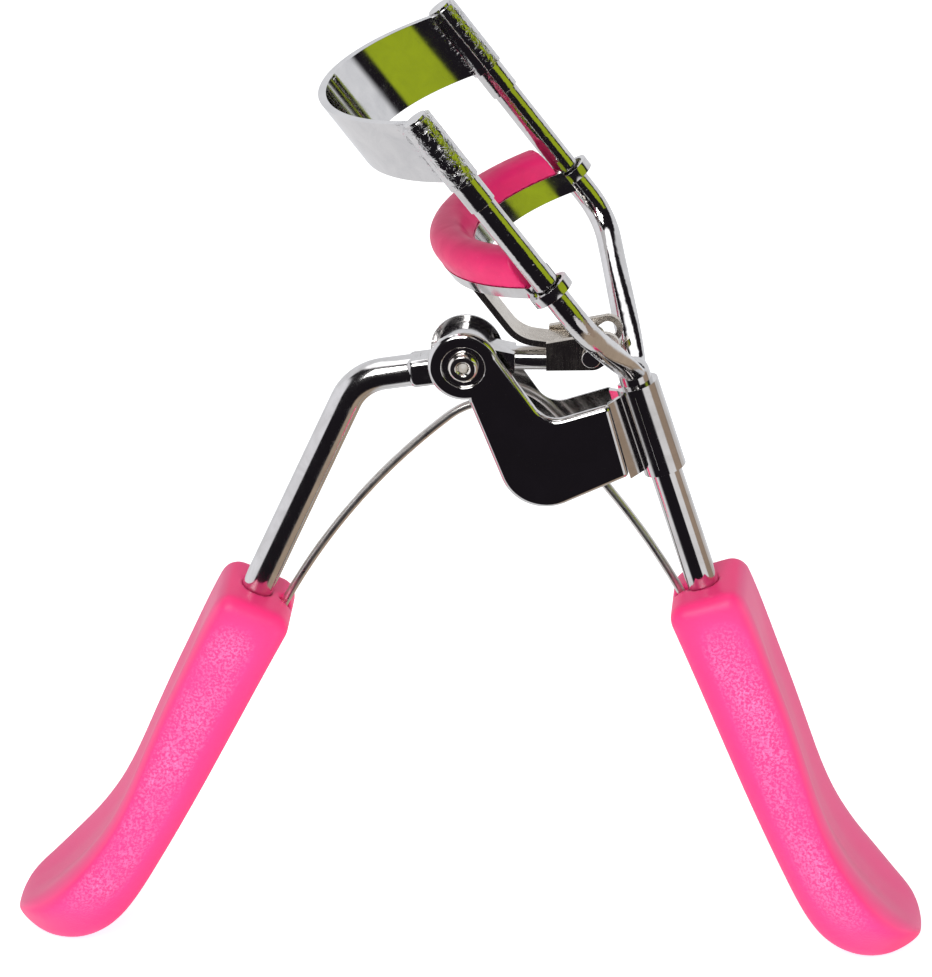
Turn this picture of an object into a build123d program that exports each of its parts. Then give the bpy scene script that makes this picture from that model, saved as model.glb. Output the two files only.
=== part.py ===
from build123d import *

import math
import os

# Eyelash curler, standing upright on the tips of its two grips.
# Millimetres. +Z is up, the handles open and close in the XZ plane, and y = 0 is the plane of symmetry.
# The fixed side (fork, bracket, upper jaw) is towards +X and the lever is towards -X.
# Pairs of numbers are X, Z points at y = 0, and angles are in degrees.

# ---- head: two guide rods that lean towards -X ----
ROD_TOP = (-3.45, 103.1)        # upper ends of the rods
ROD_LEAN = 36.7                 # from vertical
ROD_SPAN = 34.0                 # between the rods' centres
ROD_R = 1.35
ROD_PROUD = 0.3                 # how far the rods stand out of the sleeves' tops
ROD_LENGTH = 29.6               # straight run, down to the corner of the fork
ROD_BEND_R = 6.0
SHOULDER_R = 1.55               # swollen part of each rod under its sleeve
SHOULDER_END = 11.6
ARM_FOOT = (18.6, 67.95)        # where the flattened arms meet the stem
ARM_FOOT_Y = 0.7

# ---- jaws: bands bent to one arc, with rims cut on a slant ----
# Places on the jaws are given as distances down the rods, measured on the rods' own line.
JAW_TILT = 23.5                 # between the jaws' plane and the rods' square section
JAW_ARC_R = 18.4                # outside of the upper jaw plate
JAW_BULGE = 11.3                # how far the plate stands out from the rods
JAW_SHEET = 0.8
JAW_UPPER_RIM = 0.35
JAW_LOWER_RIM = 8.45
SLEEVE_R = 1.75
SLEEVE_LENGTH = 8.4

# ---- sliding jaw ----
PAD_TOP = 18.7
PAD_INNER_R = 14.8
PAD_OUTER_R = 18.9
PAD_ROUNDING = 1.85             # of the pad's upper edges
PAD_HALF_ANGLE = 61.0
PAD_END_GAP = 2.3               # clear space round the rods' axes
CHANNEL_INNER_RIM = 21.7
CHANNEL_OUTER_RIM = 22.9
CHANNEL_BASE = 24.3
CHANNEL_WALL = 0.6
CHANNEL_MARGIN = 0.05           # channel outside the pad's faces
CHANNEL_HALF_ANGLE = 63.0
LOOP_TOP = 22.9
LOOP_HEIGHT = 1.2
LOOP_WALL = 0.5
LOOP_GAP = 0.5                  # between each loop and its rod

# ---- push link: a strip under the channel that ends in two slotted ears ----
STRIP_WIDTH = 3.6
STRIP_SHEET = 0.7
STRIP_FOOT_START = 8.2          # distances out from the rods' plane
STRIP_FOOT_END = 10.95
STRIP_KNEE = 30.5               # distance down the rods to the lower bend's corner
STRIP_TOP_Z = 71.8
STRIP_END_X = 11.25
LINK_RIVET_OUT = 9.6            # distance out from the rods' plane
LINK_RIVET_R = 0.8
LINK_RIVET_HEAD_R = 1.3
LINK_RIVET_HEAD = 0.45
EAR_OUTSIDE = 2.9               # half the width over the two ears
EAR_SHEET = 0.7
EAR_BACK_X = 9.1
EAR_BACK_LOW_Z = 69.15
EAR_BACK_HIGH_Z = 72.3
EAR_LOBE_R = 1.6
SLOT_TRAVEL = 1.85              # between the centres of the slot's two ends
SLOT_R = 0.95

# ---- stem of the fixed side and its bracket ----
STEM_R = 1.75
STEM_TOP = (18.35, 68.0)
STEM_LEAN = 17.0
STEM_LENGTH = 34.0
BARREL_SHEET = 0.6
PLATE_SHEET = 0.8
PLATE_OUTSIDE = 3.2             # half the width over the two plates
BARREL_TOP = 1.25               # distances down the stem
BARREL_LENGTH = 10.4
PLATE_RIM_R = 0.65              # rounding of the plates' outer rims
NECK_TOP = 2.0
NECK_LENGTH = 8.9
PINCH_OUT = 2.0                 # from the stem's axis to the narrowest place of the neck
PINCH_HALF_WIDTH = 1.1
PINCH_HALF_GAP = 0.4
PLATE_EDGE = 3.5                # from the stem's axis to where the neck has opened to the plates

# ---- pivot ----
PIVOT = (0.15, 69.4)
BOSS_R = 3.9
RECESS_R = 2.3
RECESS_DEPTH = 0.5
RECESS_LIP_R = 0.2
RIVET_R = 1.1
RIVET_BORE_R = 0.55
RIVET_HEAD_R = 1.65
RIVET_PROUD = 0.4
RIVET_ROLL = 0.3                # bevels of the rolled heads
RUNNING_GAP = 0.05

# ---- lever ----
LEVER_FOOT = (-28.2, 30.0)      # end of the rod inside its grip
LEVER_BEND = (-11.6, 66.8)
LEVER_BEND_R = 5.5
LEVER_NECK = (-4.4, 67.95)
HUB_R = 3.1
HUB_WIDTH = 4.5
KNUCKLE = (-4.2, 68.0)
KNUCKLE_SIZE = (3.6, 3.8, 3.2)
KNUCKLE_ROUNDING = 0.8
THROAT_INSET = 0.6
ARM_R = 1.3
ARM_BEND = (11.5, 69.5)
ARM_BEND_R = 4.0
EYE_R = 1.5
EYE_HALF_WIDTH = 1.5
LINK_PIN = (14.0, 70.9)
LINK_PIN_R = 0.6
LINK_PIN_END = 3.25             # half the pin's length under its heads
LINK_PIN_HEAD_R = 1.05
LINK_PIN_HEAD = 0.45

# ---- grips: one moulding used on both handles ----
GRIP_DEPTH = 12.0
GRIP_EDGE_R = 1.8
GRIP_CORNER_R = 2.0
GRIP_TIP_TURN = 35.0            # how far the tip turns outwards from the stem's line
GRIP_TIP_R = 5.0                # corners of the tip, seen along its thickness
GRIP_TIP_MARGIN = 0.3           # how far outside the side faces those corners would begin
GRIP_TIP_SLACK = 0.05           # how far past the end of the tip they would meet
GRIP_TIP_EDGE_R = 1.2
GRIP_TIP_LENGTH = 4.6           # along the tip, from its end, in which those corners have edges
GRIP_LEAN_LEVER = 23.4
GRIP_LEAN_FIXED = 18.2
GRIP_TOP_LEVER = (-22.8, 41.5)
GRIP_TOP_FIXED = (26.43, 43.2)

# ---- bow spring: three arcs of one wire ----
WIRE_R = 0.48
BOW_CENTRE = (3.3, 56.5)
BOW_R = 7.8
BOW_LEFT_ANGLE = 129.7
BOW_RIGHT_ANGLE = 45.0
LEFT_LEG_R = 74.0
RIGHT_LEG_R = 84.0
LEFT_LEG_TURN = 31.5
RIGHT_LEG_TURN = 18.6
WIRE_HOLE_GAP = 0.3

THROUGH = 40.0                  # longer than any cut needs to be


def leaning_plane(point, lean):
    """Frame on a rod: z runs down the rod, x points to -X and down, square to it, and y is Y."""
    slope = math.radians(lean)
    return Plane(
        origin=(point[0], 0, point[1]),
        x_dir=(-math.cos(slope), 0, -math.sin(slope)),
        z_dir=(math.sin(slope), 0, -math.cos(slope)),
    )


HEAD = leaning_plane(ROD_TOP, ROD_LEAN)
STEM = leaning_plane(STEM_TOP, STEM_LEAN)
ARC_CENTRE = JAW_BULGE - JAW_ARC_R
TILT = math.tan(math.radians(JAW_TILT))
PAD_MIDDLE_R = (PAD_INNER_R + PAD_OUTER_R) / 2
CHANNEL_INNER_R = PAD_INNER_R - CHANNEL_MARGIN
CHANNEL_OUTER_R = PAD_OUTER_R + CHANNEL_MARGIN


def at(point, y=0.0):
    """X, Z pair as a point in space."""
    return Vector(point[0], y, point[1])


def on_y(point, y=0.0):
    """Frame at an X, Z point whose z is Y."""
    return Plane(origin=at(point, y), x_dir=(1, 0, 0), z_dir=(0, 1, 0))


def cross_cylinder(point, radius, half_length):
    """Cylinder along Y through an X, Z point."""
    return extrude(on_y(point, -half_length) * Circle(radius), 2 * half_length)


def on_both_sides(shape, offset):
    """A shape and its mirror image, moved apart along Y."""
    moved = Pos(0, offset, 0) * shape
    return moved + mirror(moved, about=Plane.XZ)


def slant_slab(upper, lower):
    """Everything between two slanted planes, in the head's frame."""
    corners = [
        (-THROUGH, 0, upper + THROUGH * TILT),
        (THROUGH, 0, upper - THROUGH * TILT),
        (THROUGH, 0, lower - THROUGH * TILT),
        (-THROUGH, 0, lower + THROUGH * TILT),
    ]
    return extrude(make_face(Polyline(*corners, close=True)), THROUGH, both=True)


def arc_band(inner, outer, half_angle, upper, lower):
    """Part of a tube's wall, bent round the jaws' arc and cut to slanted rims, in the head's frame."""
    spread = math.radians(half_angle)
    side_x = THROUGH * math.cos(spread)
    side_y = THROUGH * math.sin(spread)
    wedge = Polyline(
        (0, 0),
        (side_x, -side_y),
        (THROUGH, -side_y),
        (THROUGH, side_y),
        (side_x, side_y),
        close=True,
    )
    section = (Circle(outer) - Circle(inner)) & make_face(wedge)
    tube = extrude(Pos(ARC_CENTRE, 0) * section, THROUGH, both=True)
    return tube & slant_slab(upper, lower)


def on_rods(radius, start, length):
    """Two cylinders on the rods' lines, in the head's frame."""
    cylinder = Pos(0, 0, start) * extrude(Circle(radius), length)
    return on_both_sides(cylinder, ROD_SPAN / 2)


def make_upper_jaw():
    """Curved plate whose ends wrap the rods as sleeves."""
    end_angle = math.degrees(math.atan2(ROD_SPAN / 2, -ARC_CENTRE))
    plate = arc_band(JAW_ARC_R - JAW_SHEET, JAW_ARC_R, end_angle, JAW_UPPER_RIM, JAW_LOWER_RIM)
    sleeves = on_rods(SLEEVE_R, 0, SLEEVE_LENGTH)
    rods = on_rods(ROD_R, -1, SLEEVE_LENGTH + 2)
    return HEAD.location * (plate + sleeves - rods)


def fork_arm():
    """The guide rod on the +Y side, its bend and its flattened run down to the stem."""
    start = (HEAD.location * Pos(0, ROD_SPAN / 2, -ROD_PROUD)).position
    corner = (HEAD.location * Pos(0, ROD_SPAN / 2, ROD_LENGTH)).position
    foot = at(ARM_FOOT, ARM_FOOT_Y)
    down = (foot - corner).normalized()
    turn = math.radians((corner - start).get_angle(down))
    blade_start = corner + down * (ROD_BEND_R * math.tan(turn / 2) + 1.0)
    path = FilletPolyline(start, corner, blade_start, radius=ROD_BEND_R)
    rod = sweep(Plane(origin=start, z_dir=corner - start) * Circle(ROD_R), path=path)

    across = down.cross(Vector(0, 1, 0)).normalized()
    reach = (foot - blade_start).length
    sections = [Plane(origin=blade_start, x_dir=across, z_dir=down) * Circle(ROD_R)]
    for share, width, depth in ((0.45, 1.42, 1.15), (0.75, 1.4, 0.8), (1.0, 1.15, 0.75)):
        frame = Plane(origin=blade_start + down * (reach * share), x_dir=across, z_dir=down)
        sections.append(frame * Ellipse(width, depth))
    return rod + loft(sections)


def make_fork():
    """Guide rods, fork and stem: one forged piece."""
    arm = fork_arm()
    shoulders = on_rods(SHOULDER_R, SLEEVE_LENGTH, SHOULDER_END - SLEEVE_LENGTH)
    stem = extrude(Circle(STEM_R), STEM_LENGTH) + Sphere(STEM_R)
    return arm + mirror(arm, about=Plane.XZ) + HEAD.location * shoulders + STEM.location * stem


def plate_outline():
    """Bracket plate seen from the side: arm and broad foot, without the pivot boss."""
    outline = FilletPolyline(
        (3.75, 0, 70.75),
        (9.05, 0, 63.0),
        (15.85, 0, 65.25),
        (18.0, 0, 57.0),
        (6.15, 0, 51.25),
        (0.75, 0, 65.3),
        (PIVOT[0], 0, PIVOT[1]),
        radius=[0.01, 2.6, 0.5, 0.5, 5.0, 0.01, 0.01],
        close=True,
    )
    return make_face(outline)


def neck_prism(start, start_half, pinch_half, end_half, top, length):
    """Prism along the stem that narrows to the pinch and widens again towards the plates."""
    half = [(start, start_half), (PINCH_OUT, pinch_half), (PLATE_EDGE, end_half)]
    other_half = [(x, -y) for x, y in reversed(half)]
    return Pos(0, 0, top) * extrude(make_face(Polyline(*half, *other_half, close=True)), length)


def make_bracket():
    """Sheet bent round the stem, pinched behind it and opened into two plates."""
    inside = PLATE_OUTSIDE - PLATE_SHEET
    arm = extrude(plate_outline(), PLATE_SHEET, dir=(0, 1, 0))
    boss = extrude(on_y(PIVOT) * Circle(BOSS_R), PLATE_SHEET)
    plate = arm + boss
    plate = fillet(plate.edges().group_by(Axis.Y)[-1], PLATE_RIM_R)
    recess = on_y(PIVOT, PLATE_SHEET - RECESS_DEPTH) * extrude(Circle(RECESS_R), RECESS_DEPTH)
    plate -= recess
    lip = plate.edges().group_by(Axis.Y)[-1].filter_by(GeomType.CIRCLE)
    lip = [edge for edge in lip if abs(edge.radius - RECESS_R) < 0.01]
    plates = on_both_sides(fillet(lip, RECESS_LIP_R), inside)

    barrel_r = STEM_R + BARREL_SHEET
    barrel = Pos(0, 0, BARREL_TOP) * extrude(Circle(barrel_r), BARREL_LENGTH)
    edge_half_width = PLATE_OUTSIDE - PLATE_RIM_R
    neck = neck_prism(0.3, barrel_r, PINCH_HALF_WIDTH, edge_half_width, NECK_TOP, NECK_LENGTH)
    gap_foot = edge_half_width - PLATE_SHEET
    gap = neck_prism(0.0, PINCH_HALF_GAP, PINCH_HALF_GAP, gap_foot, NECK_TOP - 1, NECK_LENGTH + 2)
    bore = extrude(Circle(STEM_R), THROUGH)
    wrap = STEM.location * (barrel + neck - gap - bore)
    return wrap + plates - cross_cylinder(PIVOT, RIVET_R, PLATE_OUTSIDE)


def make_pivot_rivet():
    """Hollow rivet with a rolled head in each recess."""
    seat = PLATE_OUTSIDE - RECESS_DEPTH
    top = PLATE_OUTSIDE + RIVET_PROUD
    half = [
        (RIVET_R, seat),
        (RIVET_HEAD_R, seat),
        (RIVET_HEAD_R, top - RIVET_ROLL),
        (RIVET_HEAD_R - RIVET_ROLL, top),
        (RIVET_BORE_R + RIVET_ROLL, top),
        (RIVET_BORE_R, top - RIVET_ROLL),
    ]
    other_half = [(x, -y) for x, y in reversed(half)]
    outline = Polyline(*half, *other_half, close=True)
    return Pos(PIVOT[0], 0, PIVOT[1]) * revolve(make_face(outline), Axis.Y, 360)


def make_lever():
    """Lever rod, its bend, flat hub and the arm whose eye carries the link pin."""
    path = FilletPolyline(at(LEVER_FOOT), at(LEVER_BEND), at(LEVER_NECK), radius=LEVER_BEND_R)
    start = Plane(origin=at(LEVER_FOOT), z_dir=at(LEVER_BEND) - at(LEVER_FOOT))
    rod = sweep(start * Circle(STEM_R), path=path)

    knuckle = Box(*KNUCKLE_SIZE)
    knuckle = fillet(knuckle.edges(), KNUCKLE_ROUNDING)
    neck_rise = math.degrees(math.atan2(LEVER_NECK[1] - LEVER_BEND[1], LEVER_NECK[0] - LEVER_BEND[0]))
    knuckle = Pos(KNUCKLE[0], 0, KNUCKLE[1]) * Rot(0, -neck_rise, 0) * knuckle

    hub = cross_cylinder(PIVOT, HUB_R, HUB_WIDTH / 2)
    throat = Polyline(
        (-3.4, 0, 67.0),
        (-3.4, 0, 69.3),
        (0.15, 0, 71.6),
        (5.6, 0, 70.5),
        (5.6, 0, 68.3),
        (0.15, 0, 66.8),
        close=True,
    )
    throat = extrude(make_face(throat), HUB_WIDTH / 2 - THROAT_INSET, both=True)

    arm_path = FilletPolyline(at(PIVOT), at(ARM_BEND), at(LINK_PIN), radius=ARM_BEND_R)
    arm_start = Plane(origin=at(PIVOT), z_dir=at(ARM_BEND) - at(PIVOT))
    arm = sweep(arm_start * Circle(ARM_R), path=arm_path)
    eye = cross_cylinder(LINK_PIN, EYE_R, EYE_HALF_WIDTH)

    lever = rod + knuckle + hub + throat + arm + eye
    lever -= cross_cylinder(PIVOT, RIVET_R + RUNNING_GAP, HUB_WIDTH)
    return lever - cross_cylinder(LINK_PIN, LINK_PIN_R, HUB_WIDTH)


def make_link_pin():
    """Pin through the lever's eye and the slots of the two ears."""
    head = extrude(on_y(LINK_PIN) * Circle(LINK_PIN_HEAD_R), LINK_PIN_HEAD)
    return cross_cylinder(LINK_PIN, LINK_PIN_R, LINK_PIN_END) + on_both_sides(head, LINK_PIN_END)


def under_channel(out, depth=0.0):
    """Point under the channel's base, in the head's frame."""
    return Vector(out, 0, CHANNEL_BASE - out * TILT + depth)


def link_rivet_frame():
    """Frame of the link rivet in the head's frame: z points from the trough's floor into the strip."""
    tilt = math.radians(JAW_TILT)
    square = Vector(math.sin(tilt), 0, math.cos(tilt))
    floor = under_channel(LINK_RIVET_OUT) - square * CHANNEL_WALL
    return Plane(origin=floor, x_dir=(math.cos(tilt), 0, -math.sin(tilt)), z_dir=square)


def make_link_rivet():
    """Rivet through the channel's floor and the strip, with a head at each end."""
    stack = CHANNEL_WALL + STRIP_SHEET
    shank = extrude(Circle(LINK_RIVET_R), stack)
    upper = Pos(0, 0, -LINK_RIVET_HEAD) * extrude(Circle(LINK_RIVET_HEAD_R), LINK_RIVET_HEAD)
    lower = Pos(0, 0, stack) * extrude(Circle(LINK_RIVET_HEAD_R), LINK_RIVET_HEAD)
    lower = fillet(lower.edges().sort_by(Axis.Z)[-1:], 0.3)
    return HEAD.location * link_rivet_frame().location * (shank + upper + lower)


def make_pad_holder():
    """Channel bent to the jaws' arc, with a guide loop round each rod."""
    outside = arc_band(
        CHANNEL_INNER_R, CHANNEL_OUTER_R, CHANNEL_HALF_ANGLE, CHANNEL_INNER_RIM, CHANNEL_BASE
    )
    trough = arc_band(
        CHANNEL_INNER_R + CHANNEL_WALL,
        CHANNEL_OUTER_R - CHANNEL_WALL,
        PAD_HALF_ANGLE,
        CHANNEL_INNER_RIM - 1,
        CHANNEL_BASE - CHANNEL_WALL,
    )
    low_side = arc_band(
        PAD_MIDDLE_R, CHANNEL_OUTER_R + 1, 90, CHANNEL_INNER_RIM - 1, CHANNEL_OUTER_RIM
    )
    bore_r = ROD_R + LOOP_GAP
    loops = on_rods(bore_r + LOOP_WALL, LOOP_TOP, LOOP_HEIGHT)
    holder = outside - trough - low_side + loops - on_rods(bore_r, 0, THROUGH)
    return HEAD.location * holder - make_link_rivet()


def make_pad():
    """Curved cushion: a rounded head, a skirt over the channel's low outer side, and a tongue in it."""
    head = arc_band(PAD_INNER_R, PAD_OUTER_R, PAD_HALF_ANGLE, PAD_TOP, CHANNEL_INNER_RIM)
    upper_edges = []
    for edge in head.edges().filter_by(GeomType.LINE, reverse=True):
        middle = edge.position_at(0.5)
        if middle.Z + middle.X * TILT < (PAD_TOP + CHANNEL_INNER_RIM) / 2:
            upper_edges.append(edge)
    head = fillet(upper_edges, PAD_ROUNDING)
    tongue = arc_band(
        CHANNEL_INNER_R + CHANNEL_WALL,
        CHANNEL_OUTER_R - CHANNEL_WALL,
        PAD_HALF_ANGLE,
        CHANNEL_INNER_RIM,
        CHANNEL_BASE - CHANNEL_WALL,
    )
    skirt = arc_band(
        PAD_MIDDLE_R, PAD_OUTER_R, PAD_HALF_ANGLE, CHANNEL_INNER_RIM, CHANNEL_OUTER_RIM
    )
    pad = head + skirt + tongue - on_rods(PAD_END_GAP, 0, THROUGH)
    return HEAD.location * pad - make_link_rivet()


def slot_outline(radius):
    """Slot outline round the link pin's path in the ears, as a sketch whose normal is Y."""
    lean = math.radians(ROD_LEAN)
    along = Vector(math.cos(lean), 0, math.sin(lean))
    middle = at(LINK_PIN) + along * (SLOT_TRAVEL / 2)
    frame = Plane(origin=middle, x_dir=along, z_dir=(0, 1, 0))
    return frame * SlotCenterToCenter(SLOT_TRAVEL, 2 * radius)


def make_push_link():
    """Strip riveted under the channel, curved down into a fork of two slotted ears."""
    half = STRIP_SHEET / 2
    drop = half / math.cos(math.radians(JAW_TILT))
    corners = [
        under_channel(STRIP_FOOT_START, drop),
        under_channel(STRIP_FOOT_END, drop),
        Vector(STRIP_FOOT_END, 0, STRIP_KNEE),
    ]
    points = [(HEAD.location * Pos(*corner)).position for corner in corners]
    points.append(Vector(STRIP_END_X, 0, STRIP_TOP_Z - half))
    line = FilletPolyline(*points, radius=[0.8, 4.0])
    start = Plane(origin=points[0], x_dir=(0, 1, 0), z_dir=points[1] - points[0])
    strip = sweep(start * Rectangle(STRIP_WIDTH, STRIP_SHEET), path=line)

    web_length = STRIP_END_X - EAR_BACK_X
    web = Pos(EAR_BACK_X + web_length / 2, 0, STRIP_TOP_Z - half)
    web = web * Box(web_length, 2 * EAR_OUTSIDE, STRIP_SHEET)

    lean = math.radians(ROD_LEAN)
    slot_end = (
        LINK_PIN[0] + SLOT_TRAVEL * math.cos(lean),
        LINK_PIN[1] + SLOT_TRAVEL * math.sin(lean),
    )
    back = Polyline(
        (EAR_BACK_X, 0, EAR_BACK_LOW_Z),
        (EAR_BACK_X, 0, EAR_BACK_HIGH_Z),
        (slot_end[0], 0, slot_end[1] + EAR_LOBE_R),
        (LINK_PIN[0], 0, LINK_PIN[1] - EAR_LOBE_R),
        close=True,
    )
    ear = extrude(make_face(back), EAR_SHEET, dir=(0, 1, 0))
    ear += extrude(slot_outline(EAR_LOBE_R), EAR_SHEET, dir=(0, 1, 0))
    ears = on_both_sides(ear, EAR_OUTSIDE - EAR_SHEET)
    slot = extrude(slot_outline(SLOT_R), EAR_OUTSIDE + 1, both=True)
    return strip + web + ears - slot - make_link_rivet()


def grip_profile():
    """Side outline of the moulding: x outwards from the stem, z down the stem."""
    outer = Spline(
        (3.9, 0, 0), (4.5, 0, 9), (4.8, 0, 22), (5.6, 0, 30.5), (7.9, 0, 37), (10.3, 0, 43.2)
    )
    tip = TangentArc((10.3, 0, 43.2), (6.9, 0, 47.7), tangent=outer % 1)
    inner = Spline(
        (6.9, 0, 47.7), (-2.0, 0, 35.0), (-4.7, 0, 0), tangents=[tip % 1, (-0.08, 0, -1)]
    )
    lid = Line((-4.7, 0, 0), (3.9, 0, 0))
    return make_face([outer, tip, inner, lid])


def make_grip(side, top, lean, cores):
    """Grip moulding, slid along its stem until its tip rests on z = 0, with its cores taken out."""
    body = Pos(0, -GRIP_DEPTH / 2, 0) * extrude(grip_profile(), GRIP_DEPTH, dir=(0, 1, 0))
    lid_corners = [e for e in body.edges().filter_by(Axis.Y) if abs(e.center().Z) < 0.001]
    body = fillet(lid_corners, GRIP_CORNER_R)
    rims = [e for e in body.edges() if abs(abs(e.center().Y) - GRIP_DEPTH / 2) < 0.001]
    body = fillet(rims, GRIP_EDGE_R)

    body = Rot(0, -GRIP_TIP_TURN, 0) * body
    end = body.bounding_box().max.Z + GRIP_TIP_SLACK
    plan_width = GRIP_DEPTH + 2 * GRIP_TIP_MARGIN
    plan = Pos(0, 0, end - THROUGH) * Box(2 * THROUGH, plan_width, 2 * THROUGH)
    tip_corners = plan.edges().filter_by(Axis.X).group_by(Axis.Z)[-1]
    body &= fillet(tip_corners, GRIP_TIP_R)
    tip_start = end - GRIP_TIP_LENGTH
    tip_edges = [e for e in body.edges() if e.center().Z > tip_start and abs(e.center().Y) > 0.1]
    body = Rot(0, GRIP_TIP_TURN, 0) * fillet(tip_edges, GRIP_TIP_EDGE_R)

    slope = math.radians(lean)
    frame = Plane(
        origin=at(top),
        x_dir=(side * math.cos(slope), 0, math.sin(slope)),
        z_dir=(side * math.sin(slope), 0, -math.cos(slope)),
    )
    grip = frame.location * body
    drop = grip.bounding_box().min.Z
    grip = Pos(side * drop * math.tan(slope), 0, -drop) * grip
    for core in cores:
        grip -= core
    return grip


def ring_point(centre, radius, angle):
    """Point at an angle on a circle in the XZ plane."""
    turn = math.radians(angle)
    return Vector(centre[0] + radius * math.cos(turn), 0, centre[1] + radius * math.sin(turn))


def leg_arc(radius, from_angle, turn):
    """Arc of one leg, tangent to the apex arc where it leaves it."""
    centre = ring_point(BOW_CENTRE, BOW_R - radius, from_angle)
    centre = (centre.X, centre.Z)
    return [ring_point(centre, radius, from_angle + turn * share) for share in (0, 0.5, 1)]


def spring_wire(radius):
    """Bow of one wire: apex arc between the plates, and a flatter leg into each grip."""
    left = leg_arc(LEFT_LEG_R, BOW_LEFT_ANGLE, LEFT_LEG_TURN)
    right = leg_arc(RIGHT_LEG_R, BOW_RIGHT_ANGLE, -RIGHT_LEG_TURN)
    apex = ring_point(BOW_CENTRE, BOW_R, (BOW_LEFT_ANGLE + BOW_RIGHT_ANGLE) / 2)
    left_leg = ThreePointArc(left[2], left[1], left[0])
    bow = ThreePointArc(left[0], apex, right[0])
    right_leg = ThreePointArc(right[0], right[1], right[2])
    start = Plane(origin=left_leg @ 0, z_dir=left_leg % 0)
    return sweep(start * Circle(radius), path=Wire([left_leg, bow, right_leg]))


def lever_core():
    """Room for the lever's rod inside its grip."""
    start = Plane(origin=at(LEVER_FOOT), z_dir=at(LEVER_BEND) - at(LEVER_FOOT))
    return extrude(start * Circle(STEM_R), THROUGH / 2)


def stem_core():
    """Room for the stem inside the fixed grip."""
    return STEM.location * extrude(Circle(STEM_R), STEM_LENGTH)


def main():
    """Build every node and write one STEP file for each."""
    os.makedirs("parts", exist_ok=True)
    wire_room = spring_wire(WIRE_R + WIRE_HOLE_GAP)
    lever_cores = [lever_core(), wire_room]
    stem_cores = [stem_core(), wire_room]
    nodes = {
        "fork_stem": make_fork(),
        "upper_jaw": make_upper_jaw(),
        "pivot_bracket": make_bracket(),
        "pivot_rivet": make_pivot_rivet(),
        "fixed_grip": make_grip(1, GRIP_TOP_FIXED, GRIP_LEAN_FIXED, stem_cores),
        "bow_spring": spring_wire(WIRE_R),
        "lever": make_lever(),
        "lever_grip": make_grip(-1, GRIP_TOP_LEVER, GRIP_LEAN_LEVER, lever_cores),
        "link_pin": make_link_pin(),
        "pad_holder": make_pad_holder(),
        "silicone_pad": make_pad(),
        "push_link": make_push_link(),
        "link_rivet": make_link_rivet(),
    }
    for name, shape in nodes.items():
        export_step(shape, os.path.join("parts", name + ".step"))


if __name__ == "__main__":
    main()
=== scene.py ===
import bpy
import bmesh
import math
from mathutils import Matrix, Vector


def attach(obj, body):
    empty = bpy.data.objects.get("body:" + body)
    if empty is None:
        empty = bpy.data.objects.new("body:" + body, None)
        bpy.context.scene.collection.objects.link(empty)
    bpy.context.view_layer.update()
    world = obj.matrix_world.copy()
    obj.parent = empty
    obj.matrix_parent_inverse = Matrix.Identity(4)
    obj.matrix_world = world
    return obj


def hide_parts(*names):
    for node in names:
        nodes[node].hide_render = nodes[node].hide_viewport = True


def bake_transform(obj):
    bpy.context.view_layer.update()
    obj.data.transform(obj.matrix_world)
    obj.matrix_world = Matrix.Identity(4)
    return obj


# Eyelash curler. Every CAD node is replaced by a finer piece in the same place. Lengths named
# _MM, and those of the bow spring, are millimetres and are turned into metres with MM.

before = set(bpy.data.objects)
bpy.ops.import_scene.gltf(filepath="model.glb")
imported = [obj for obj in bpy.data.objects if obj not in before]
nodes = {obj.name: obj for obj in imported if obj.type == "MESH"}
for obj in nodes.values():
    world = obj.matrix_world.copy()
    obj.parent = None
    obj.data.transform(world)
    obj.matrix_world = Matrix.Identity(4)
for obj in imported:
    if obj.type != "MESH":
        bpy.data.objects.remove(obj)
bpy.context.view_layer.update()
MM = 0.001


# ---------------------------------------------------------------- node helpers
def link(tree, output, target):
    tree.links.new(output, target)


def texture_space(tree, stretch=(1.0, 1.0, 1.0), turn=(0.0, 0.0, 0.0)):
    """Object coordinates, turned and stretched, so that grain can run along a part."""
    coordinates = tree.nodes.new("ShaderNodeTexCoord")
    mapping = tree.nodes.new("ShaderNodeMapping")
    mapping.inputs["Scale"].default_value = stretch
    mapping.inputs["Rotation"].default_value = turn
    link(tree, coordinates.outputs["Object"], mapping.inputs["Vector"])
    return mapping.outputs["Vector"]


def noise(tree, vector, size_mm, detail=3.0, rough=0.55, distortion=0.0):
    """Noise whose features are about size_mm across."""
    node = tree.nodes.new("ShaderNodeTexNoise")
    node.inputs["Scale"].default_value = 1.0 / (size_mm * MM)
    node.inputs["Detail"].default_value = detail
    node.inputs["Roughness"].default_value = rough
    node.inputs["Distortion"].default_value = distortion
    link(tree, vector, node.inputs["Vector"])
    return node.outputs["Fac"]


def remap(tree, value, low, high, to_low, to_high):
    node = tree.nodes.new("ShaderNodeMapRange")
    node.inputs["From Min"].default_value = low
    node.inputs["From Max"].default_value = high
    node.inputs["To Min"].default_value = to_low
    node.inputs["To Max"].default_value = to_high
    link(tree, value, node.inputs["Value"])
    return node.outputs["Result"]


def combine(tree, operation, first, second):
    node = tree.nodes.new("ShaderNodeMath")
    node.operation = operation
    for socket, value in zip(node.inputs, (first, second)):
        if isinstance(value, (int, float)):
            socket.default_value = value
        else:
            link(tree, value, socket)
    return node.outputs["Value"]


def blend_colours(tree, factor, first, second):
    node = tree.nodes.new("ShaderNodeMix")
    node.data_type = "RGBA"
    link(tree, factor, node.inputs["Factor"])
    for name, value in (("A", first), ("B", second)):
        socket = [s for s in node.inputs if s.name == name and s.type == "RGBA"][0]
        if isinstance(value, tuple):
            socket.default_value = (*value, 1.0)
        else:
            link(tree, value, socket)
    return [s for s in node.outputs if s.type == "RGBA"][0]


def vertex_value(tree, name):
    """A value that the mesh carries at each vertex."""
    node = tree.nodes.new("ShaderNodeAttribute")
    node.attribute_name = name
    return node.outputs["Fac"]


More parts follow.
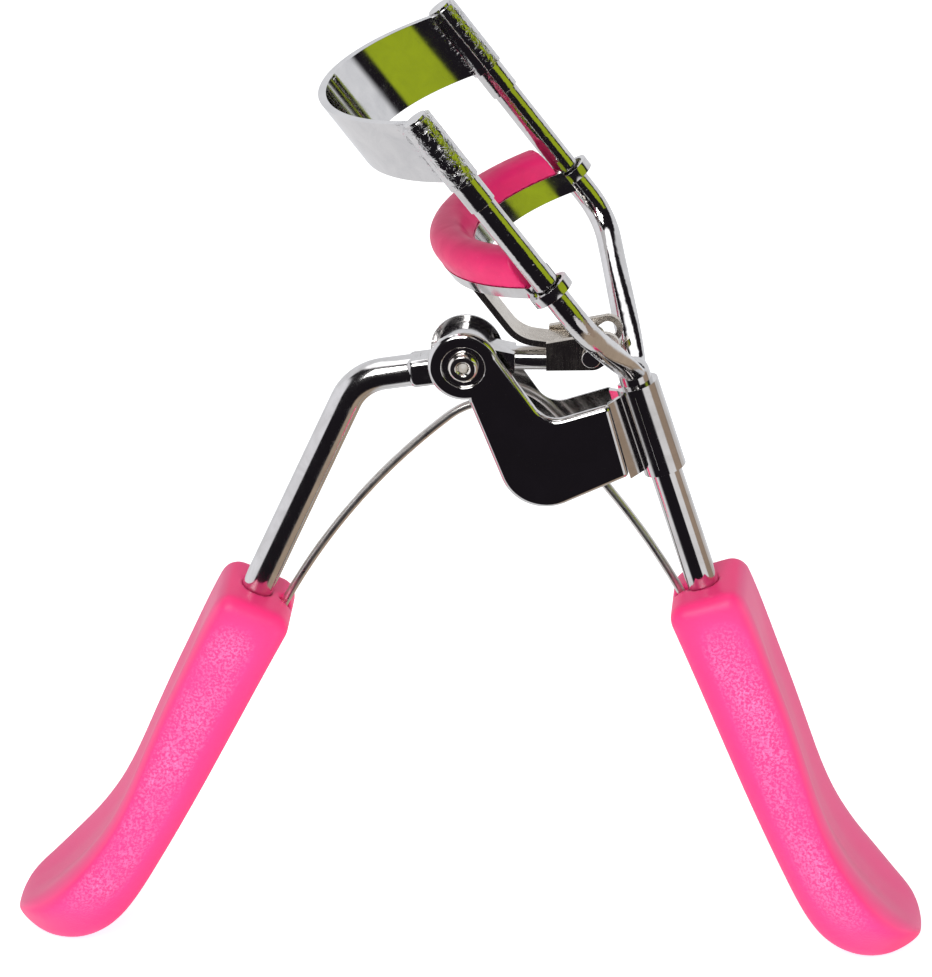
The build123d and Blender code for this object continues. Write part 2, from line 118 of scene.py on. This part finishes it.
def bump(tree, height, depth_mm, below=None):
    node = tree.nodes.new("ShaderNodeBump")
    node.inputs["Strength"].default_value = 1.0
    node.inputs["Distance"].default_value = depth_mm * MM
    link(tree, height, node.inputs["Height"])
    if below is not None:
        link(tree, below, node.inputs["Normal"])
    return node.outputs["Normal"]


def new_material(name):
    material = bpy.data.materials.new(name)
    material.use_nodes = True
    return material, material.node_tree, material.node_tree.nodes["Principled BSDF"]


# ---------------------------------------------------------------- materials
PINK = (1.0, 0.040, 0.262)
PINK_MOTTLED = (0.98, 0.035, 0.235)
# Deeper pink: painted shade at the grips' rims, away from the crowns of their side faces.
PINK_RIM_SHADE = (0.97, 0.028, 0.20)
# Lilac pink: painted highlight on the glossy specks along the crowns of the grips' side faces.
PINK_SPECK_HIGHLIGHT = (1.0, 0.29, 0.60)
# Greyer pink: painted sheen of the pale sky on the grips' outer faces.
PINK_OUTER_SHEEN = (0.84, 0.085, 0.25)
PINK_SCATTER = (1.0, 0.2, 0.35)
SILICONE = (0.70, 0.014, 0.13)
SILICONE_HAZE = (0.60, 0.012, 0.11)
SILICONE_DUST = (0.85, 0.2, 0.38)
NICKEL = (0.78, 0.77, 0.765)
NICKEL_DULL = (0.64, 0.625, 0.615)
STEEL = (0.92, 0.90, 0.87)
LEVER_GRAIN_TURN = (0.0, math.radians(-24), 0.0)
NO_TURN = (0.0, 0.0, 0.0)


def beyond_y(tree, space, start_mm, end_mm):
    """0 near the plane of symmetry and 1 far from it, on either side."""
    parts = tree.nodes.new("ShaderNodeSeparateXYZ")
    link(tree, space, parts.inputs["Vector"])
    distance = combine(tree, "ABSOLUTE", parts.outputs["Y"], 0.0)
    return remap(tree, distance, start_mm * MM, end_mm * MM, 0.0, 1.0)


def plated(
    name, bright, dull, rough_low, rough_high,
    wave_mm=0.004, pit_mm=0.0006, brush=None, crinkle_mm=0.0, crinkle_from=15.2,
):
    """Plated metal: cloudy smudges in colour and gloss, faint waves from forming, and pits.

    brush is the stretch, turn, depth and added roughness of brushing. crinkle_mm is the depth of
    the orange peel that plating leaves on the rods, further than crinkle_from from their middle.
    """
    material, tree, shader = new_material(name)
    shader.inputs["Metallic"].default_value = 1.0
    space = texture_space(tree)
    smudge = noise(tree, space, 3.2, detail=5.0, rough=0.6, distortion=0.6)
    speckle = noise(tree, space, 0.35, detail=2.0)
    colour = blend_colours(tree, remap(tree, smudge, 0.35, 0.7, 0.0, 1.0), bright, dull)
    link(tree, colour, shader.inputs["Base Color"])
    gloss = remap(tree, smudge, 0.38, 0.72, rough_low, rough_high)
    gloss = combine(tree, "ADD", gloss, remap(tree, speckle, 0.62, 0.8, 0.0, 0.12))
    waves = noise(tree, space, 2.4, detail=1.0)
    normal = bump(tree, waves, wave_mm)
    normal = bump(tree, speckle, pit_mm, normal)
    if crinkle_mm:
        crinkle = noise(tree, space, 0.75, detail=3.0, rough=0.6, distortion=0.8)
        place = beyond_y(tree, space, crinkle_from, crinkle_from + 0.6)
        normal = bump(tree, combine(tree, "MULTIPLY", crinkle, place), crinkle_mm, normal)
    if brush:
        stretch, turn, depth_mm, extra_rough = brush
        streaks = noise(tree, texture_space(tree, stretch, turn), 0.22, detail=3.0, rough=0.7)
        gloss = combine(tree, "ADD", gloss, remap(tree, streaks, 0.3, 0.75, 0.0, extra_rough))
        normal = bump(tree, streaks, depth_mm, normal)
    link(tree, gloss, shader.inputs["Roughness"])
    link(tree, normal, shader.inputs["Normal"])
    return material


def moulded_pink():
    """Pink moulding: leathery grain, mottling, glossy specks along its side faces coloured with a
    painted highlight, painted shade towards the rims, and smoother grain at the rims.
    """
    material, tree, shader = new_material("grip_moulding")
    space = texture_space(tree)
    crown = vertex_value(tree, "crown")
    grain = noise(tree, space, 0.30, detail=3.0, rough=0.65, distortion=0.2)
    fine = noise(tree, space, 0.15, detail=2.0)
    cloud = noise(tree, space, 6.0, detail=3.0)
    base = blend_colours(tree, remap(tree, cloud, 0.3, 0.7, 0.0, 1.0), PINK, PINK_MOTTLED)
    # Painted shade: deeper pink towards the rims, away from the crowns of the side faces.
    base = blend_colours(tree, remap(tree, crown, 0.0, 0.45, 0.0, 1.0), PINK_RIM_SHADE, base)
    # Greyer pink on the outer faces: painted sheen of the pale sky at a grazing angle.
    base = blend_colours(tree, vertex_value(tree, "outer"), base, PINK_OUTER_SHEEN)
    # Lilac specks in a band along the crowns of the side faces: painted highlight; the lower roughness
    # on them is real gloss.
    highlight_patches = remap(tree, cloud, 0.35, 0.6, 0.4, 1.0)
    highlight_band = combine(tree, "MULTIPLY", remap(tree, crown, 0.35, 1.0, 0.0, 1.0), highlight_patches)
    speck = combine(tree, "MULTIPLY", remap(tree, grain, 0.44, 0.66, 0.0, 0.9), highlight_band)
    colour = blend_colours(tree, speck, base, PINK_SPECK_HIGHLIGHT)
    link(tree, colour, shader.inputs["Base Color"])
    link(tree, remap(tree, speck, 0.0, 0.5, 0.42, 0.26), shader.inputs["Roughness"])
    shader.inputs["Specular IOR Level"].default_value = 0.5
    shader.inputs["Subsurface Weight"].default_value = 0.08
    shader.inputs["Subsurface Radius"].default_value = PINK_SCATTER
    shader.inputs["Subsurface Scale"].default_value = 0.001
    relief = combine(tree, "MULTIPLY", grain, remap(tree, crown, 0.0, 0.8, 0.06, 1.0))
    normal = bump(tree, relief, 0.13)
    normal = bump(tree, fine, 0.01, normal)
    link(tree, normal, shader.inputs["Normal"])
    return material


def soft_silicone():
    """Smooth silicone: deep pink, a little light inside it, a faint moulding haze and dust specks."""
    material, tree, shader = new_material("cushion_silicone")
    space = texture_space(tree)
    haze = noise(tree, space, 2.5, detail=4.0, distortion=0.4)
    dust = noise(tree, space, 0.2, detail=2.0)
    hazy = remap(tree, haze, 0.3, 0.72, 0.0, 1.0)
    base = blend_colours(tree, hazy, SILICONE, SILICONE_HAZE)
    colour = blend_colours(tree, remap(tree, dust, 0.7, 0.8, 0.0, 0.4), base, SILICONE_DUST)
    link(tree, colour, shader.inputs["Base Color"])
    link(tree, remap(tree, haze, 0.3, 0.7, 0.3, 0.46), shader.inputs["Roughness"])
    shader.inputs["Subsurface Weight"].default_value = 0.12
    shader.inputs["Subsurface Radius"].default_value = PINK_SCATTER
    shader.inputs["Subsurface Scale"].default_value = 0.002
    shader.inputs["Specular IOR Level"].default_value = 0.35
    shader.inputs["Coat Weight"].default_value = 0.06
    shader.inputs["Coat Roughness"].default_value = 0.25
    normal = bump(tree, haze, 0.02)
    normal = bump(tree, dust, 0.002, normal)
    link(tree, normal, shader.inputs["Normal"])
    return material


metal_frame = plated("plated_fork", NICKEL, NICKEL_DULL, 0.05, 0.14, crinkle_mm=0.03, crinkle_from=14.0)
metal_jaw = plated(
    "plated_jaw", NICKEL, (0.68, 0.675, 0.68), 0.05, 0.13, wave_mm=0.006, crinkle_mm=0.16,
)
metal_bracket = plated("plated_bracket", NICKEL, NICKEL_DULL, 0.06, 0.14, wave_mm=0.003)
metal_lever = plated(
    "plated_lever", NICKEL, NICKEL_DULL, 0.06, 0.17,
    brush=((1.0, 1.0, 0.08), LEVER_GRAIN_TURN, 0.0008, 0.06),
)
metal_channel = plated("plated_channel", NICKEL, NICKEL_DULL, 0.06, 0.18, wave_mm=0.008)
metal_link = plated(
    "brushed_link", (0.74, 0.69, 0.62), (0.52, 0.47, 0.41), 0.14, 0.28,
    brush=((1.0, 1.0, 0.07), NO_TURN, 0.004, 0.14),
)
metal_rivet = plated("bright_rivet", STEEL, (0.78, 0.74, 0.68), 0.10, 0.22, wave_mm=0.05)
metal_wire = plated(
    "spring_wire", STEEL, (0.74, 0.71, 0.66), 0.24, 0.40,
    brush=((0.1, 1.0, 0.1), NO_TURN, 0.0006, 0.08),
)
pink = moulded_pink()
silicone = soft_silicone()


# ---------------------------------------------------------------- mesh helpers
WELD_MM = 0.002
FLAT_DEG = 0.4                  # faces within this angle of each other become one
SHARP_DEG = 32.0                # edges sharper than this are rolled over
SMOOTH_STEP = 0.5               # share of the way to its neighbours that a vertex moves in one round


def copy_of(node, name):
    """The CAD node's mesh welded into one skin, as a new object."""
    mesh = bpy.data.meshes.new(name)
    work = bmesh.new()
    work.from_mesh(nodes[node].data)
    bmesh.ops.remove_doubles(work, verts=work.verts, dist=WELD_MM * MM)
    work.to_mesh(mesh)
    work.free()
    for attribute in ("custom_normal", "sharp_edge", "sharp_face"):
        if attribute in mesh.attributes:
            mesh.attributes.remove(mesh.attributes[attribute])
    mesh.materials.clear()
    piece = bpy.data.objects.new(name, mesh)
    bpy.context.scene.collection.objects.link(piece)
    return piece


def settle(piece):
    """Applies the piece's modifiers."""
    bpy.context.view_layer.update()
    graph = bpy.context.evaluated_depsgraph_get()
    mesh = bpy.data.meshes.new_from_object(piece.evaluated_get(graph))
    piece.modifiers.clear()
    piece.data = mesh
    mesh.name = piece.name


def stand_in(piece, node, material):
    """Gives the piece its material, and hides the CAD node that it stands in for."""
    piece.data.materials.clear()
    piece.data.materials.append(material)
    for polygon in piece.data.polygons:
        polygon.material_index = 0
    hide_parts(node)


def bevelled(node, body, material, width_mm):
    """Machined or pressed part: the CAD shape with its sharp rims rolled over."""
    piece = copy_of(node, node + "_finished")
    work = bmesh.new()
    work.from_mesh(piece.data)
    bmesh.ops.dissolve_limit(
        work, angle_limit=math.radians(FLAT_DEG), use_dissolve_boundaries=False,
        verts=work.verts, edges=work.edges,
    )
    work.to_mesh(piece.data)
    work.free()
    rims = piece.modifiers.new("rims", "BEVEL")
    rims.width = width_mm * MM
    rims.segments = 3
    rims.limit_method = "ANGLE"
    rims.angle_limit = math.radians(SHARP_DEG)
    for polygon in piece.data.polygons:
        polygon.use_smooth = True
    smooth = piece.modifiers.new("normals", "WEIGHTED_NORMAL")
    smooth.weight = 60
    smooth.keep_sharp = False
    settle(piece)
    stand_in(piece, node, material)
    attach(piece, body)


def smooth_out(piece, rounds, group=""):
    """Smooths the whole skin, or only the vertices of one group."""
    smooth = piece.modifiers.new("smooth", "SMOOTH")
    smooth.factor = SMOOTH_STEP
    smooth.iterations = rounds
    smooth.vertex_group = group
    settle(piece)


def moulded(node, body, material, voxel_mm, rounds):
    """Moulded part: the CAD shape as one even skin with softened edges."""
    piece = copy_of(node, node + "_moulded")
    remesh = piece.modifiers.new("skin", "REMESH")
    remesh.mode = "VOXEL"
    remesh.voxel_size = voxel_mm * MM
    remesh.use_smooth_shade = True
    smooth_out(piece, rounds)
    stand_in(piece, node, material)
    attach(piece, body)
    return piece


def smoothstep(low, high, value):
    """0 at low and 1 at high, eased at both ends; low may be the greater."""
    share = min(max((value - low) / (high - low), 0.0), 1.0)
    return share * share * (3.0 - 2.0 * share)


# ---------------------------------------------------------------- grips
GRIP_HALF_MM = 6.0
GRIP_LENGTH_MM = 48.0
GRIP_VOXEL_MM = 0.3
FIXED_GRIP_TOP_MM = (26.43, 43.2)
FIXED_GRIP_LEAN_DEG = 18.2
LEVER_GRIP_TOP_MM = (-22.8, 41.5)
LEVER_GRIP_LEAN_DEG = 23.4
TIP_TURN_DEG = 35.0             # how far the tip turns outwards from the stem's line
TIP_FLARE = 0.4                 # how much wider the outer side of the spoon is than the grip
TIP_THIN = 0.2                  # share of the thickness that is missing at the tip
TIP_STRETCH_MM = 0.55
TIP_ROUND_MM = 10.0
TIP_PINCH = 0.8                 # 1 would bring the rounded end to a point
TIP_DEEP_MM = 8.0               # height over the underside at which the flare is complete
SPOON_MM = 30.0                 # length of the spoon, over which the grip flares and thins
DISH_MM = 0.7
CROWN_MM = 0.35
CROWN_OFFSET = 0.15             # the crown's line is this much further out than a face's middle
SINK_PLACE_MM = (0.4, 8.0)
SINK_R_MM = 1.1
SINK_MM = 0.12


class GripAxes:
    """One grip's directions: down its stem and out of its outer face, and the same for its tip."""

    def __init__(self, side, top, lean):
        slope = math.radians(lean)
        turn = math.radians(TIP_TURN_DEG)
        self.side = side
        self.origin = Vector((top[0], 0.0, top[1])) * MM
        self.out = Vector((side * math.cos(slope), 0.0, math.sin(slope)))
        self.down = Vector((side * math.sin(slope), 0.0, -math.cos(slope)))
        self.tip_down = self.down * math.cos(turn) + self.out * math.sin(turn)
        self.tip_out = self.out * math.cos(turn) - self.down * math.sin(turn)

    def measure(self, point, first, second):
        """Distances of a point from the top of the grip along two directions, in mm."""
        offset = point - self.origin
        return offset.dot(first) / MM, offset.dot(second) / MM


def mark_tip(piece, axes):
    """Groups the vertices near the end of the tip, and returns that end's distance from the top."""
    reaches = [axes.measure(v.co, axes.tip_down, axes.tip_out)[0] for v in piece.data.vertices]
    end = max(reaches)
    group = piece.vertex_groups.new(name="tip")
    for index, reach in enumerate(reaches):
        group.add([index], smoothstep(10.0, 3.0, end - reach), "REPLACE")
    return end


def shape_spoon(piece, axes, end):
    """Flares and thins the tip into a spoon with a rounded end."""
    underside = {}
    for vertex in piece.data.vertices:
        along, height = axes.measure(vertex.co, axes.tip_down, axes.tip_out)
        underside[int(along)] = min(underside.get(int(along), height), height)
    for vertex in piece.data.vertices:
        along, height = axes.measure(vertex.co, axes.tip_down, axes.tip_out)
        from_end = end - along
        base = underside.get(int(along - 0.5), height)
        base += (underside.get(int(along + 0.5), base) - base) * ((along - 0.5) % 1.0)
        depth = height - base
        flare = TIP_FLARE * smoothstep(0.0, TIP_DEEP_MM, depth) * smoothstep(SPOON_MM, 6.0, from_end)
        rounding = max(1.0 - from_end / TIP_ROUND_MM, 0.0)
        vertex.co.y *= (1.0 + flare) * math.sqrt(1.0 - TIP_PINCH * rounding * rounding)
        thinned = TIP_THIN * smoothstep(SPOON_MM, 2.0, from_end) * depth
        vertex.co -= axes.tip_out * (thinned * MM)
        vertex.co.x += axes.side * TIP_STRETCH_MM * MM * smoothstep(12.0, 0.0, from_end)


def finish_faces(piece, axes):
    """Crowns the side faces, dishes the outer face, and marks both for the material's painted
    highlight, shade and sheen.
    """
    places = []
    reach = {}
    for vertex in piece.data.vertices:
        u, v = axes.measure(vertex.co, axes.out, axes.down)
        places.append((u, v, vertex.co.y / MM))
        low, high = reach.get(int(v), (u, u))
        reach[int(v)] = (min(low, u), max(high, u))
    crown = piece.data.attributes.new("crown", "FLOAT", "POINT")
    outer = piece.data.attributes.new("outer", "FLOAT", "POINT")
    normals = [vertex.normal.copy() for vertex in piece.data.vertices]
    for vertex, normal, (u, v, y) in zip(piece.data.vertices, normals, places):
        low, high = reach[int(v)]
        across = (u - (low + high) / 2) / max((high - low) / 2, 0.5) - CROWN_OFFSET
        along = smoothstep(-0.5, 6.0, v) * smoothstep(GRIP_LENGTH_MM - 2.0, GRIP_LENGTH_MM - 12.0, v)
        facing_side = abs(normal.y)
        hump = smoothstep(0.98, 0.15, abs(across)) * smoothstep(0.6, 0.95, facing_side) * along
        # crown also sets where the material paints highlight specks and, where it is low, rim shade.
        crown.data[vertex.index].value = hump
        # outer marks the outer face for its painted sheen.
        outer.data[vertex.index].value = smoothstep(0.45, 0.95, normal.dot(axes.out))
        vertex.co.y += math.copysign(CROWN_MM * MM, y) * hump
        dish = smoothstep(0.55, 0.95, normal.dot(axes.out)) * smoothstep(GRIP_HALF_MM, 1.0, abs(y))
        dish *= smoothstep(1.0, 12.0, v) * smoothstep(GRIP_LENGTH_MM, GRIP_LENGTH_MM - 9.0, v)
        vertex.co -= axes.out * (DISH_MM * MM * dish)
        from_sink = math.hypot(u - SINK_PLACE_MM[0], v - SINK_PLACE_MM[1])
        sink = smoothstep(SINK_R_MM, 0.5, from_sink) * smoothstep(0.8, 0.95, facing_side)
        vertex.co.y -= math.copysign(SINK_MM * MM, y) * sink


def grip(node, body, side, top, lean):
    """Grip moulding with a spoon-shaped tip; side is 1 towards +X and -1 towards -X."""
    piece = moulded(node, body, pink, GRIP_VOXEL_MM, 6)
    axes = GripAxes(side, top, lean)
    end = mark_tip(piece, axes)
    smooth_out(piece, 70, "tip")
    shape_spoon(piece, axes, end)
    smooth_out(piece, 24, "tip")
    finish_faces(piece, axes)


# ---------------------------------------------------------------- bow spring
WIRE_R = 0.48
WIRE_SIDES = 16
BOW_CENTRE = (3.3, 56.5)
BOW_R = 7.8
BOW_LEFT_ANGLE = 129.7
BOW_RIGHT_ANGLE = 45.0
LEFT_LEG_R = 74.0
RIGHT_LEG_R = 84.0
LEFT_LEG_TURN = 31.5
RIGHT_LEG_TURN = 18.6
LEFT_LEG_RINGS = 70
BOW_RINGS = 26
RIGHT_LEG_RINGS = 46


def arc_points(centre, radius, from_angle, turn, count):
    """Evenly spaced points on an arc in the XZ plane, in metres."""
    points = []
    for step in range(count + 1):
        angle = math.radians(from_angle + turn * step / count)
        x = centre[0] + radius * math.cos(angle)
        z = centre[1] + radius * math.sin(angle)
        points.append(Vector((x, 0.0, z)) * MM)
    return points


def leg_centre(radius, angle):
    """Centre of a leg's arc that leaves the bow smoothly at an angle."""
    turn = math.radians(angle)
    reach = BOW_R - radius
    return (BOW_CENTRE[0] + reach * math.cos(turn), BOW_CENTRE[1] + reach * math.sin(turn))


def make_spring():
    """Wire swept round the three arcs, in short rings."""
    left_centre = leg_centre(LEFT_LEG_R, BOW_LEFT_ANGLE)
    right_centre = leg_centre(RIGHT_LEG_R, BOW_RIGHT_ANGLE)
    left = arc_points(left_centre, LEFT_LEG_R, BOW_LEFT_ANGLE, LEFT_LEG_TURN, LEFT_LEG_RINGS)
    bow_turn = BOW_RIGHT_ANGLE - BOW_LEFT_ANGLE
    bow = arc_points(BOW_CENTRE, BOW_R, BOW_LEFT_ANGLE, bow_turn, BOW_RINGS)
    right = arc_points(right_centre, RIGHT_LEG_R, BOW_RIGHT_ANGLE, -RIGHT_LEG_TURN, RIGHT_LEG_RINGS)
    path = left[::-1] + bow[1:] + right[1:]
    work = bmesh.new()
    rings = []
    for index, point in enumerate(path):
        ahead = path[min(index + 1, len(path) - 1)] - path[max(index - 1, 0)]
        ahead.normalize()
        across = Vector((0.0, 1.0, 0.0))
        upward = ahead.cross(across)
        ring = []
        for side in range(WIRE_SIDES):
            angle = 2 * math.pi * side / WIRE_SIDES
            offset = across * math.cos(angle) + upward * math.sin(angle)
            ring.append(work.verts.new(point + offset * (WIRE_R * MM)))
        rings.append(ring)
    for first, second in zip(rings, rings[1:]):
        for side in range(WIRE_SIDES):
            after = (side + 1) % WIRE_SIDES
            work.faces.new((first[side], first[after], second[after], second[side]))
    work.faces.new(rings[0][::-1])
    work.faces.new(rings[-1])
    bmesh.ops.recalc_face_normals(work, faces=work.faces)
    mesh = bpy.data.meshes.new("bow_spring_wire")
    work.to_mesh(mesh)
    work.free()
    for polygon in mesh.polygons:
        polygon.use_smooth = True
    spring = bpy.data.objects.new("bow_spring_wire", mesh)
    bpy.context.scene.collection.objects.link(spring)
    stand_in(spring, "bow_spring", metal_wire)
    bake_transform(spring)


# ---------------------------------------------------------------- pieces
bevelled("fork_stem", "frame", metal_frame, 0.12)
bevelled("upper_jaw", "frame", metal_jaw, 0.16)
bevelled("pivot_bracket", "frame", metal_bracket, 0.26)
bevelled("pivot_rivet", "frame", metal_rivet, 0.1)
bevelled("lever", "lever", metal_lever, 0.35)
bevelled("link_pin", "lever", metal_rivet, 0.15)
bevelled("pad_holder", "carriage", metal_channel, 0.14)
bevelled("push_link", "carriage", metal_link, 0.16)
bevelled("link_rivet", "carriage", metal_rivet, 0.12)
grip("fixed_grip", "frame", 1, FIXED_GRIP_TOP_MM, FIXED_GRIP_LEAN_DEG)
grip("lever_grip", "lever", -1, LEVER_GRIP_TOP_MM, LEVER_GRIP_LEAN_DEG)
moulded("silicone_pad", "carriage", silicone, 0.2, 5)
make_spring()


# ---------------------------------------------------------------- stage
# What polished metal sees: direction of each card's centre, reach and softness in degrees, colour.
STUDIO_CARDS = (
    ((-0.15, 1.0, -0.05), 80, 4, (0.78, 0.79, 0.82)),       # grey wall behind
    ((0.6, 0.2, -0.75), 43, 6, (0.42, 0.33, 0.25)),         # tan ground on the right
    ((0.97, -0.08, -0.2), 21, 4, (0.36, 0.27, 0.205)),      # tan panel on the right
    ((-0.5, 0.22, -0.82), 43, 6, (0.78, 0.78, 0.80)),       # white ground on the left
    ((-0.95, -0.1, -0.05), 34, 4, (0.86, 0.86, 0.90)),      # white panel on the left
    ((0.75, -0.62, -0.32), 20, 3, (0.80, 0.79, 0.80)),      # white panel in front, low
    ((0.88, -0.25, 0.33), 20, 2, (0.36, 0.45, 0.02)),       # lime panel on the right, high
    ((-0.25, 0.1, 0.96), 22, 4, (1.7, 1.7, 1.75)),          # lamp overhead
)
WORLD_DARK = (0.012, 0.010, 0.013)
WORLD_MATT = 0.45               # strength of the light that matt surfaces see
WORLD_SEEN = 1.05               # strength of the white background


def make_floor():
    mesh = bpy.data.meshes.new("floor")
    half = 6.0
    corners = [(-half, -half, 0), (half, -half, 0), (half, half, 0), (-half, half, 0)]
    mesh.from_pydata(corners, [], [(0, 1, 2, 3)])
    floor = bpy.data.objects.new("floor", mesh)
    bpy.context.scene.collection.objects.link(floor)
    material, tree, shader = new_material("floor_pale")
    shader.inputs["Base Color"].default_value = (0.85, 0.85, 0.85, 1.0)
    shader.inputs["Emission Color"].default_value = (1.0, 1.0, 1.0, 1.0)
    shader.inputs["Emission Strength"].default_value = 0.75
    shader.inputs["Roughness"].default_value = 0.9
    shader.inputs["Specular IOR Level"].default_value = 0.0
    mesh.materials.append(material)
    floor.visible_glossy = False


def card(tree, direction_output, centre, reach_deg, soft_deg, colour, below):
    """A soft-edged patch of light in the studio, laid over what is below it."""
    aim = Vector(centre).normalized()
    dot = tree.nodes.new("ShaderNodeVectorMath")
    dot.operation = "DOT_PRODUCT"
    link(tree, direction_output, dot.inputs[0])
    dot.inputs[1].default_value = aim
    edge = tree.nodes.new("ShaderNodeMapRange")
    edge.interpolation_type = "SMOOTHSTEP"
    edge.inputs["From Min"].default_value = math.cos(math.radians(reach_deg + soft_deg))
    edge.inputs["From Max"].default_value = math.cos(math.radians(reach_deg - soft_deg))
    edge.inputs["To Min"].default_value = 0.0
    edge.inputs["To Max"].default_value = 1.0
    link(tree, dot.outputs["Value"], edge.inputs["Value"])
    return blend_colours(tree, edge.outputs["Result"], below, colour)


def make_world():
    """White to the eye, soft on matt surfaces, and a dark studio with cards to polished ones."""
    world = bpy.data.worlds.new("studio")
    bpy.context.scene.world = world
    world.use_nodes = True
    tree = world.node_tree
    tree.nodes.clear()
    output = tree.nodes.new("ShaderNodeOutputWorld")
    coordinates = tree.nodes.new("ShaderNodeTexCoord")
    direction = coordinates.outputs["Generated"]
    look = WORLD_DARK
    for centre, reach, soft, colour in STUDIO_CARDS:
        look = card(tree, direction, centre, reach, soft, colour, look)
    polished = tree.nodes.new("ShaderNodeBackground")
    link(tree, look, polished.inputs["Color"])
    matt = tree.nodes.new("ShaderNodeBackground")
    matt.inputs["Color"].default_value = (0.97, 0.98, 1.0, 1.0)
    matt.inputs["Strength"].default_value = WORLD_MATT
    rays = tree.nodes.new("ShaderNodeLightPath")
    by_ray = tree.nodes.new("ShaderNodeMixShader")
    link(tree, rays.outputs["Is Glossy Ray"], by_ray.inputs["Fac"])
    link(tree, matt.outputs["Background"], by_ray.inputs[1])
    link(tree, polished.outputs["Background"], by_ray.inputs[2])
    seen = tree.nodes.new("ShaderNodeBackground")
    seen.inputs["Color"].default_value = (1.0, 1.0, 1.0, 1.0)
    seen.inputs["Strength"].default_value = WORLD_SEEN
    whole = tree.nodes.new("ShaderNodeMixShader")
    link(tree, rays.outputs["Is Camera Ray"], whole.inputs["Fac"])
    link(tree, by_ray.outputs["Shader"], whole.inputs[1])
    link(tree, seen.outputs["Background"], whole.inputs[2])
    link(tree, whole.outputs["Shader"], output.inputs["Surface"])


def soft_box(name, place, size, power, glossy=True):
    """Square area light aimed at the middle of the object."""
    data = bpy.data.lights.new(name, "AREA")
    data.shape = "SQUARE"
    data.size = size
    data.energy = power
    lamp = bpy.data.objects.new(name, data)
    bpy.context.scene.collection.objects.link(lamp)
    lamp.location = place
    aim = Vector((0.0, 0.0, 0.05)) - Vector(place)
    lamp.rotation_mode = "QUATERNION"
    lamp.rotation_quaternion = aim.to_track_quat("-Z", "Y")
    lamp.visible_glossy = glossy


def make_camera():
    """The photograph's viewpoint: a long lens, a little to the right of square on, and above."""
    azimuth = math.radians(4.4)
    elevation = math.radians(23.5)
    roll = math.radians(0.6)
    distance = 0.9
    target = Vector((0.0001, 0.0, 0.0539))
    level = Vector((math.cos(azimuth), math.sin(azimuth), 0.0))
    ahead = Vector(
        (
            -math.sin(azimuth) * math.cos(elevation),
            math.cos(azimuth) * math.cos(elevation),
            -math.sin(elevation),
        )
    )
    above = level.cross(ahead)
    right = level * math.cos(roll) - above * math.sin(roll)
    up = level * math.sin(roll) + above * math.cos(roll)
    data = bpy.data.cameras.new("camera")
    data.lens = 305.1
    data.sensor_width = 36.0
    data.clip_start = 0.01
    camera = bpy.data.objects.new("camera", data)
    bpy.context.scene.collection.objects.link(camera)
    turn = Matrix((right, up, -ahead)).transposed()
    camera.matrix_world = Matrix.Translation(target - ahead * distance) @ turn.to_4x4()
    bpy.context.scene.camera = camera


make_floor()
make_world()
soft_box("key", (-0.25, -0.85, 0.75), 0.6, 6.5)
soft_box("fill", (0.6, -0.7, 0.45), 0.8, 2.2, glossy=False)
make_camera()
bpy.context.scene.view_settings.view_transform = "Standard"
